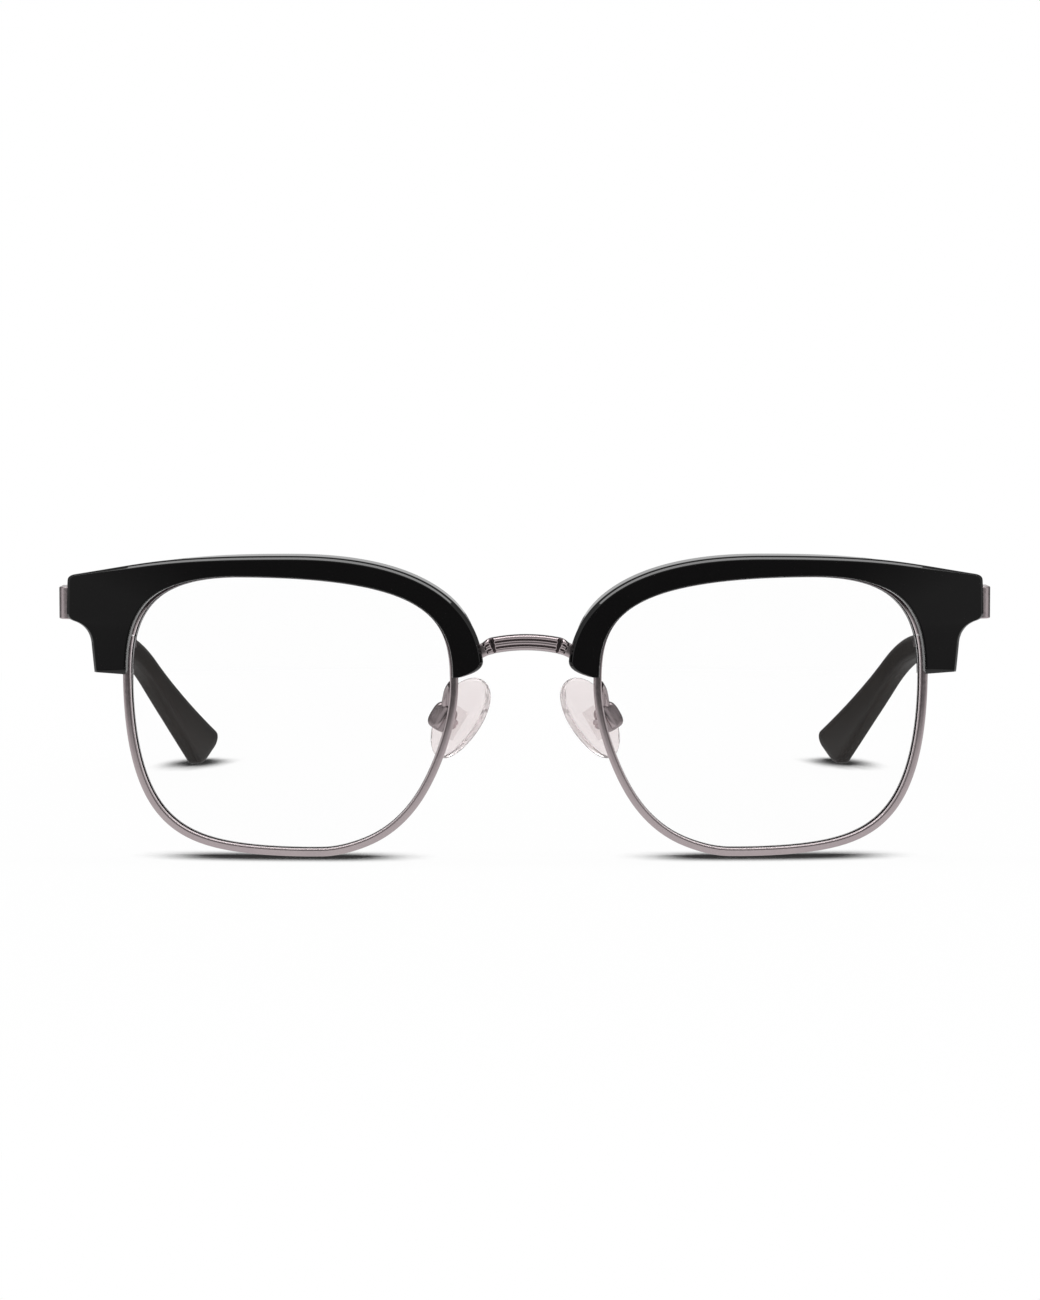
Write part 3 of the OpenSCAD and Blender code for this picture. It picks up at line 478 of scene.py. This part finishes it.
def temple_bar():
    """Bar: rounded flat section between a lower and an upper edge line of three points each, narrowing
    behind the hinge, then running on to the tip."""
    p, a = temple_line(np.array(BARE_L - FIT))
    up = TEMPLE_H2 / 2 * np.array([np.sin(a), np.cos(a)])
    start, taper_y = HINGE_Y + HINGE_GAP, HINGE_Y + TAPER_L
    top = HINGE_LOW + END_H - TAPER_L * np.tan(TAPER_SLOPE)
    k = np.concatenate([[0, 0.01], np.linspace(0.05, 2, 60)])

    def corner(x, first, second, third):
        y, z = np.array([first, second, third]).T
        knots = [0, 1, 2]
        return np.stack([np.full(len(k), x), np.interp(k, knots, y), np.interp(k, knots, z)], -1)

    low = [start, HINGE_LOW], [taper_y, top - TEMPLE_H2], p - up
    high = [start, HINGE_LOW + END_H], [taper_y, top], p + up
    rings = np.stack([corner(END_X - END_T, *low), corner(END_X, *low),
        corner(END_X, *high), corner(END_X - END_T, *high)], 1)
    return fillet(rings, [EDGE_R] * 4)


# Nose pads

PAD_C = np.array([PAD_X, point(*EYE_N, RIM_D)[1] + PAD_Y, EYE_N[1] - 5.9])
PIN_X = PAD_T / 2 + 2.1
ARM_ANGLE = np.radians(56)  # where the arm meets the box's round back


def at_pad(p):
    """Pad coordinates (through the pad, across it, along it) turned by the splay, then the lean, then
    placed."""
    through, across, along = p[..., 0], p[..., 1], p[..., 2]
    x = through * np.cos(PAD_SPLAY) + across * np.sin(PAD_SPLAY)
    y = -through * np.sin(PAD_SPLAY) + across * np.cos(PAD_SPLAY)
    out = x * np.cos(PAD_LEAN) - along * np.sin(PAD_LEAN)
    up = x * np.sin(PAD_LEAN) + along * np.cos(PAD_LEAN)
    return PAD_C + np.stack([out, y, up], -1)


def nose_pad():
    """Pad: teardrop outline shrunk by k, thickness (1 - k^2.6)^(1 / 2.6) to both faces, bent towards
    the nose."""
    f = np.linspace(-1, 1, 61)
    k = np.clip(1 - np.abs(f) ** 3, 0.004, 1)[:, None]
    side = np.sign(-f)[:, None]
    thick = side * PAD_T / 2 * (1 - k ** 2.6) ** (1 / 2.6) + 0.05 * PAD_T * k ** 4
    a = np.linspace(0, 2 * np.pi, 96, endpoint=False)[None]
    across = np.sin(a) * PAD_W / 2 * k * (1 + 0.1 * np.cos(a))
    along = np.cos(a) * PAD_L / 2 * k
    through = thick - PAD_BOW * (along / PAD_L * 2) ** 2 + 0.4 * k * k
    return at_pad(np.stack([through, across, along], -1))


def pad_box():
    """Box: C section round the pad's tab (cheek, back, cheek, slot) carried along the pad; its outside
    shrinks as a = (1 - |2z / h|^2.8)^(1 / 2.8), so that it is egg shaped, while the slot keeps its
    width."""
    z = BOX_H / 2 * np.sin(np.linspace(-1, 1, 41) * np.pi / 2)
    a = np.maximum((1 - np.abs(2 * z / BOX_H) ** 2.8), 0.02) ** (1 / 2.8)
    front, back, wide = 0.35 - 1.15 * a, 1.42 + (BOX_R - 1.6) * a, 0.78 + (BOX_W / 2 - 0.8) * a
    slot, floor = np.full_like(a, 0.7), np.full_like(a, 1.3)
    outline = [  # through, across, fillet
        (front, slot, 0.08), (front, wide, 0.9), (back, wide, 1.1), (back, -wide, 1.1),
        (front, -wide, 0.9), (front, -slot, 0.08), (floor, -slot, 0.05), (floor, slot, 0.05)]
    rings = [np.stack([PIN_X + x, y, z - PIN_DROP], -1) for x, y, _ in outline]
    return at_pad(fillet(np.stack(rings, 1), [radius for _, _, radius in outline], 10))


def pad_arm():
    """Arm: round wire along a Bezier from the rim's back, bowed out, down to the box's round back; it
    swells where it is soldered on."""
    def on_box(r):
        through, along = PIN_X + r * np.cos(ARM_ANGLE), r * np.sin(ARM_ANGLE) - PIN_DROP
        return at_pad(np.array([through, 0, along]))

    i, n = opening(np.array(2.0))
    seat, rim_back = i + RIM_W / 2 * n, RIM_D + FIT
    root = on_front(seat, rim_back)
    leave = unit(on_front(seat, rim_back + 1) - root)
    foot, arrive = on_box(BOX_R - 0.3), unit(on_box(2 * BOX_R) - on_box(BOX_R))
    b = np.array([root, root + 1.6 * leave + [0.5, 0, 0], foot + 1.9 * arrive + [0.3, 0, 0], foot])
    t = np.linspace(0, 1, 60)
    d = unit(bezier_slope(b, t))
    side = unit(np.cross(d, [0.3, 1, 0.2]))
    over = np.cross(d, side)
    v = np.linspace(0, 2 * np.pi, 32, endpoint=False)[None, :, None]
    swell = 0.95 + 0.35 * np.exp(-(t / 0.14) ** 2) + 0.3 * np.exp(-((1 - t) / 0.2) ** 2)
    r = (ARM_D / 2 * swell)[:, None, None]
    return bezier(b, t)[:, None] + r * (np.cos(v) * side[:, None] + np.sin(v) * over[:, None])


# Shader nodes

def linear(hex_colour):
    """sRGB hex to linear RGBA: c / 12.92 below 0.04045, ((c + 0.055) / 1.055)^2.4 above."""
    c = np.array([int(hex_colour[i:i + 2], 16) for i in (1, 3, 5)]) / 255
    return [*np.where(c <= 0.04045, c / 12.92, ((c + 0.055) / 1.055) ** 2.4), 1.0]


def add(tree, kind, sockets=(), **settings):
    """Adds a node; a socket given for an input is linked to it, any other value is set on it."""
    made = tree.nodes.new(kind)
    for name, value in settings.items():
        setattr(made, name, value)
    for name, value in dict(sockets).items():
        if isinstance(value, bpy.types.NodeSocket):
            tree.links.new(value, made.inputs[name])
        else:
            made.inputs[name].default_value = value
    return made


def levels(tree, value, stops):
    """Grey level of a value: straight lines between the stops (value, level)."""
    low, high = stops[0][0], stops[-1][0]
    place = add(tree, "ShaderNodeMapRange", {"Value": value, "From Min": low, "From Max": high})
    made = add(tree, "ShaderNodeValToRGB", {"Fac": place.outputs["Result"]})
    for k, (at, grey) in enumerate(stops):
        at = (at - low) / (high - low)
        ramp_stops = made.color_ramp.elements
        stop = ramp_stops[k] if k < 2 else ramp_stops.new(at)
        stop.position, stop.color = at, (grey, grey, grey, 1)
    return made.outputs["Color"]


def new_material(name):
    made = bpy.data.materials.new(name)
    made.use_nodes = True
    made.node_tree.nodes.clear()
    return made, made.node_tree


def per_metre(mm):
    """Texture scale on Object coordinates, in metres, for a feature of that many millimetres."""
    return 1 / (mm * MM)


NOISE_RANGE = {"From Min": 0.3, "From Max": 0.7}  # where most of a noise lies


# Materials

def black_acetate():
    # Cellulose acetate sheet, milled and tumble polished: wet deep black, faint waves in the gloss.
    made, tree = new_material("polished_black_cellulose_acetate")
    here = add(tree, "ShaderNodeTexCoord").outputs["Object"]
    cloud = add(tree, "ShaderNodeTexNoise",
        {"Vector": here, "Scale": per_metre(6), "Detail": 4.0}).outputs["Fac"]
    fine = add(tree, "ShaderNodeTexNoise",
        {"Vector": here, "Scale": per_metre(1.6), "Detail": 3.0}).outputs["Fac"]
    colour = add(tree, "ShaderNodeMix",
        {"Factor": cloud, "A": linear("#060506"), "B": linear("#0b0a0a")}, data_type="RGBA")
    rough = add(tree, "ShaderNodeMapRange",
        {"Value": fine, **NOISE_RANGE, "To Min": 0.04, "To Max": 0.07})
    wave = add(tree, "ShaderNodeBump", {"Height": fine, "Strength": 0.02, "Distance": 0.0001})
    shader = add(tree, "ShaderNodeBsdfPrincipled",
        {"Base Color": colour.outputs["Result"], "Roughness": rough.outputs["Result"],
        "Normal": wave.outputs["Normal"], "IOR": 1.48})
    add(tree, "ShaderNodeOutputMaterial", {"Surface": shader.outputs["BSDF"]})
    return made


def gunmetal():
    # Gunmetal plating on nickel silver, drawn and buffed: warm mauve grey, soft mirror. Painted shade:
    # a per-point attribute darkens it in hollows, under the brows and over the pad arms and boxes.
    made, tree = new_material("buffed_gunmetal_plated_nickel_silver")
    here = add(tree, "ShaderNodeTexCoord").outputs["Object"]
    cloud = add(tree, "ShaderNodeTexNoise",
        {"Vector": here, "Scale": per_metre(5), "Detail": 3.0}).outputs["Fac"]
    grain = add(tree, "ShaderNodeTexNoise",
        {"Vector": here, "Scale": per_metre(0.5), "Detail": 2.0}).outputs["Fac"]
    colour = add(tree, "ShaderNodeMix",
        {"Factor": cloud, "A": linear("#b9acaf"), "B": linear("#c6babb")}, data_type="RGBA")
    rough = add(tree, "ShaderNodeMapRange",
        {"Value": grain, **NOISE_RANGE, "To Min": 0.18, "To Max": 0.26})
    # Painted shade: the per-point attribute mixes the colour towards dark mauve.
    painted_shade = add(tree, "ShaderNodeAttribute", attribute_name="painted_shade").outputs["Fac"]
    colour = add(tree, "ShaderNodeMix",
        {"Factor": painted_shade, "A": colour.outputs["Result"], "B": linear("#372d30")}, data_type="RGBA")
    lines = add(tree, "ShaderNodeBump", {"Height": cloud, "Strength": 0.04, "Distance": 0.0001})
    shader = add(tree, "ShaderNodeBsdfPrincipled",
        {"Base Color": colour.outputs["Result"], "Roughness": rough.outputs["Result"],
        "Normal": lines.outputs["Normal"], "Metallic": 1.0})
    add(tree, "ShaderNodeOutputMaterial", {"Surface": shader.outputs["BSDF"]})
    return made


def clear_lens():
    # Cast resin lens with an anti-reflection coat: water clear, seen only by its edge and a faint
    # veil. The low IOR stands for the coat.
    made, tree = new_material("clear_cast_resin_lens")
    here = add(tree, "ShaderNodeTexCoord").outputs["Object"]
    cloud = add(tree, "ShaderNodeTexNoise",
        {"Vector": here, "Scale": per_metre(12), "Detail": 2.0}).outputs["Fac"]
    colour = add(tree, "ShaderNodeMix",
        {"Factor": cloud, "A": linear("#ffffff"), "B": linear("#fefefe")}, data_type="RGBA")
    shader = add(tree, "ShaderNodeBsdfPrincipled",
        {"Base Color": colour.outputs["Result"], "Roughness": 0.0, "IOR": 1.12,
        "Transmission Weight": 1.0})
    add(tree, "ShaderNodeOutputMaterial", {"Surface": shader.outputs["BSDF"]})
    return made


def moulded_clear(name, pale, milky, smoothest, dullest, ior, mm):
    """Clear moulding: two nearly white colours clouded together, roughness from smoothest to
    dullest, soft unevenness."""
    made, tree = new_material(name)
    here = add(tree, "ShaderNodeTexCoord").outputs["Object"]
    cloud = add(tree, "ShaderNodeTexNoise",
        {"Vector": here, "Scale": per_metre(mm), "Detail": 3.0}).outputs["Fac"]
    colour = add(tree, "ShaderNodeMix",
        {"Factor": cloud, "A": linear(pale), "B": linear(milky)}, data_type="RGBA")
    rough = add(tree, "ShaderNodeMapRange",
        {"Value": cloud, **NOISE_RANGE, "To Min": smoothest, "To Max": dullest})
    skin = add(tree, "ShaderNodeBump", {"Height": cloud, "Strength": 0.03, "Distance": 0.0002})
    shader = add(tree, "ShaderNodeBsdfPrincipled",
        {"Base Color": colour.outputs["Result"], "Roughness": rough.outputs["Result"],
        "Normal": skin.outputs["Normal"], "IOR": ior, "Transmission Weight": 0.88})
    add(tree, "ShaderNodeOutputMaterial", {"Surface": shader.outputs["BSDF"]})
    return made


def clear_silicone():
    # Moulded silicone: clear with a milky rosy cast, soft highlights, slightly uneven surface.
    return moulded_clear("clear_moulded_silicone", "#faf0f0", "#fdf7f7", 0.06, 0.14, 1.3, 3)


def clear_insert():
    # Moulded polycarbonate inside the pad: clear, so it shows as a faint outline in the silicone.
    # Its IOR is low because the silicone around it bends the light already.
    return moulded_clear("clear_moulded_polycarbonate", "#fdf8f8", "#fefdfd", 0.04, 0.1, 1.04, 2)


def charcoal_acetate():
    # Cellulose acetate, tumbled to a satin: charcoal with a warm cast, broad soft sheen, faint
    # marbling.
    made, tree = new_material("satin_charcoal_cellulose_acetate")
    here = add(tree, "ShaderNodeTexCoord").outputs["Object"]
    cloud = add(tree, "ShaderNodeTexNoise",
        {"Vector": here, "Scale": per_metre(7), "Detail": 5.0}).outputs["Fac"]
    grain = add(tree, "ShaderNodeTexNoise",
        {"Vector": here, "Scale": per_metre(0.3), "Detail": 2.0}).outputs["Fac"]
    colour = add(tree, "ShaderNodeMix",
        {"Factor": cloud, "A": linear("#1a1411"), "B": linear("#221b17")}, data_type="RGBA")
    rough = add(tree, "ShaderNodeMapRange",
        {"Value": grain, **NOISE_RANGE, "To Min": 0.36, "To Max": 0.5})
    skin = add(tree, "ShaderNodeBump", {"Height": grain, "Strength": 0.06, "Distance": 0.00005})
    shader = add(tree, "ShaderNodeBsdfPrincipled",
        {"Base Color": colour.outputs["Result"], "Roughness": rough.outputs["Result"],
        "Normal": skin.outputs["Normal"], "IOR": 1.48, "Specular IOR Level": 0.12})
    add(tree, "ShaderNodeOutputMaterial", {"Surface": shader.outputs["BSDF"]})
    return made


BLACK, METAL, CHARCOAL = black_acetate(), gunmetal(), charcoal_acetate()
LENS, SILICONE, INSERT = clear_lens(), clear_silicone(), clear_insert()

# Pieces

# Painted shade, even over the whole pad arm and box.
ARM_PAINTED_SHADE, BOX_PAINTED_SHADE = 0.25, 0.35

both_sides("brow", brow(), BLACK, "front")
rim_rings, rim_painted_shade = rim()
both_sides("rim", rim_rings, METAL, "front", rim_painted_shade)
both_sides("lens", lens(), LENS, "front")
both_sides("end_piece", end_piece(), METAL, "front")
both_sides("pad_arm", pad_arm(), METAL, "front", ARM_PAINTED_SHADE)
both_sides("pad_box", pad_box(), METAL, "front", BOX_PAINTED_SHADE)
both_sides("temple_bar", temple_bar(), METAL, "temple")
both_sides("temple_tip", temple_tip(), CHARCOAL, "temple")
both_sides("nose_pad", nose_pad(), SILICONE, "pad")
bridge_rings, bridge_painted_shade = bridge()
solid("bridge_surface", bridge_rings, METAL, "front", "bridge", bridge_painted_shade)

# The nodes still shown as solids
for name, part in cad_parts.items():
    if not part.hide_render:
        part.data.materials.clear()
        part.data.materials.append(INSERT if name.startswith("pad_core") else METAL)

# Studio

# What reflections see, as (place, level): on the paper along Y in metres, in the room by the
# direction's Y. The room has a dark flag round the camera, grey walls, a dim rear and the bright
# backdrop straight behind.
# The PAPER levels are a painted reflection: the glow the paper shows to mirrored rays.
PAPER = [(-0.6, 0.06), (-0.35, 0.06), (-0.15, 0.6), (-0.08, 0.78), (0.06, 0.7), (0.2, 0.12)]
ROOM = [(-1, 0.1), (-0.9, 0.12), (-0.7, 0.55), (-0.3, 0.85), (0.3, 0.4), (0.7, 0.14),
    (0.84, 0.14), (0.95, 0.7), (1, 0.7)]
ROOM_LIGHT = 0.55  # the room's level for matt surfaces
FLOOR_HALF = 4.0  # metres
GAP_REACH = 8 * MM


def white_floor():
    # Matt white paper: to the camera, to reflections and through glass it glows white, with a little
    # lit paper mixed in near the frame; far off it glows in full, so that it fades into the backdrop.
    # Ambient occlusion darkens the glow in the narrow gap under what stands on it: a painted contact
    # shadow. Mirrored rays see the glow at the PAPER levels instead: a painted reflection. A ray through
    # a lens is both glossy and transmitted, so a mirrored ray is one that is glossy alone.
    made, tree = new_material("matt_white_paper")
    here = add(tree, "ShaderNodeTexCoord").outputs["Object"]
    grain = add(tree, "ShaderNodeTexNoise",
        {"Vector": here, "Scale": per_metre(2), "Detail": 3.0}).outputs["Fac"]
    colour = add(tree, "ShaderNodeMix",
        {"Factor": grain, "A": linear("#fdfdfd"), "B": linear("#ffffff")}, data_type="RGBA")
    paper = add(tree, "ShaderNodeBsdfDiffuse", {"Color": colour.outputs["Result"]})
    # Painted contact shadow: the glow dims where ambient occlusion finds the frame within GAP_REACH.
    open_sky = add(tree, "ShaderNodeAmbientOcclusion", {"Distance": GAP_REACH}, samples=16)
    gap = add(tree, "ShaderNodeMapRange",
        {"Value": open_sky.outputs["AO"], "From Min": 0.64, "From Max": 0.9, "To Min": 0.02, "To Max": 1.0})
    rays = add(tree, "ShaderNodeLightPath").outputs
    away = add(tree, "ShaderNodeVectorMath", {0: here}, operation="LENGTH").outputs["Value"]
    depth = add(tree, "ShaderNodeSeparateXYZ", {0: here}).outputs["Y"]
    # Painted reflection: the paper's glow to mirrored rays, by the PAPER levels along Y.
    painted_reflection = levels(tree, depth, PAPER)
    mirror = add(tree, "ShaderNodeMath",
        {0: rays["Is Glossy Ray"], 1: rays["Is Transmission Ray"]}, operation="SUBTRACT", use_clamp=True)
    level = add(tree, "ShaderNodeMix",
        {"Factor": mirror.outputs[0], "A": gap.outputs["Result"], "B": painted_reflection})
    glow = add(tree, "ShaderNodeEmission",
        {"Color": linear("#ffffff"), "Strength": level.outputs["Result"]})
    seen = add(tree, "ShaderNodeMath",
        {0: rays["Is Camera Ray"], 1: rays["Is Transmission Ray"]}, operation="MAXIMUM")
    seen = add(tree, "ShaderNodeMath",
        {0: seen.outputs[0], 1: rays["Is Glossy Ray"]}, operation="MAXIMUM")
    far = add(tree, "ShaderNodeMapRange",
        {"Value": away, "From Min": 0.1, "From Max": 0.3, "To Min": 0.96, "To Max": 1.0})
    share = add(tree, "ShaderNodeMath",
        {0: seen.outputs[0], 1: far.outputs["Result"]}, operation="MULTIPLY")
    both = add(tree, "ShaderNodeMixShader",
        {0: share.outputs[0], 1: paper.outputs[0], 2: glow.outputs[0]})
    add(tree, "ShaderNodeOutputMaterial", {"Surface": both.outputs[0]})
    return made


def white_studio():
    # White to the camera and through glass towards the back, the room's levels to reflections.
    made = bpy.data.worlds.new("white_studio")
    made.use_nodes = True
    tree = made.node_tree
    tree.nodes.clear()
    rays = add(tree, "ShaderNodeLightPath").outputs
    facing = add(tree, "ShaderNodeTexCoord").outputs["Generated"]
    look = add(tree, "ShaderNodeSeparateXYZ", {0: facing}).outputs["Y"]
    behind = add(tree, "ShaderNodeMath", {0: look, 1: 0.3}, operation="GREATER_THAN")
    through = add(tree, "ShaderNodeMath",
        {0: rays["Is Transmission Ray"], 1: behind.outputs[0]}, operation="MULTIPLY")
    seen = add(tree, "ShaderNodeMath",
        {0: rays["Is Camera Ray"], 1: through.outputs[0]}, operation="MAXIMUM")
    room = add(tree, "ShaderNodeMix",
        {"Factor": rays["Is Glossy Ray"], "A": ROOM_LIGHT, "B": levels(tree, look, ROOM)})
    level = add(tree, "ShaderNodeMix",
        {"Factor": seen.outputs[0], "A": room.outputs["Result"], "B": 1.0})
    sky = add(tree, "ShaderNodeBackground",
        {"Color": linear("#ffffff"), "Strength": level.outputs["Result"]})
    add(tree, "ShaderNodeOutputWorld", {"Surface": sky.outputs[0]})
    return made


floor_mesh = bpy.data.meshes.new("paper_floor")
floor_mesh.from_pydata([(-FLOOR_HALF, -FLOOR_HALF, 0), (FLOOR_HALF, -FLOOR_HALF, 0),
    (FLOOR_HALF, FLOOR_HALF, 0), (-FLOOR_HALF, FLOOR_HALF, 0)], [], [(0, 1, 2, 3)])
floor_mesh.materials.append(white_floor())
paper_floor = bpy.data.objects.new("paper_floor", floor_mesh)
bpy.context.scene.collection.objects.link(paper_floor)

bpy.context.scene.world = white_studio()

# One softbox above, facing straight down: its reflection draws the light line along the brows' bevel.
lamp = bpy.data.lights.new("overhead_softbox", "AREA")
lamp.shape, lamp.size, lamp.size_y, lamp.energy = "RECTANGLE", 1.5, 0.2, 3.6
softbox = bpy.data.objects.new("overhead_softbox", lamp)
softbox.location = (0, 0.11, 0.8)
bpy.context.scene.collection.objects.link(softbox)

# The photograph's view: 0.57 m in front of the brows, a little above them, turned by half a degree
PHOTO_FOCAL, PHOTO_HEIGHT = 3767.0, 1300  # pixels
SENSOR = 36
view = bpy.data.cameras.new("camera")
view.lens, view.sensor_width = PHOTO_FOCAL * SENSOR / PHOTO_HEIGHT, SENSOR
camera = bpy.data.objects.new("camera", view)
camera.location = (-0.00553, cad_low.y - 0.57457, 0.0745)
camera.rotation_euler = (np.radians(90 - 4.214), 0, -0.00803)
bpy.context.scene.collection.objects.link(camera)
bpy.context.scene.camera = camera

bpy.context.scene.view_settings.view_transform = "Standard"
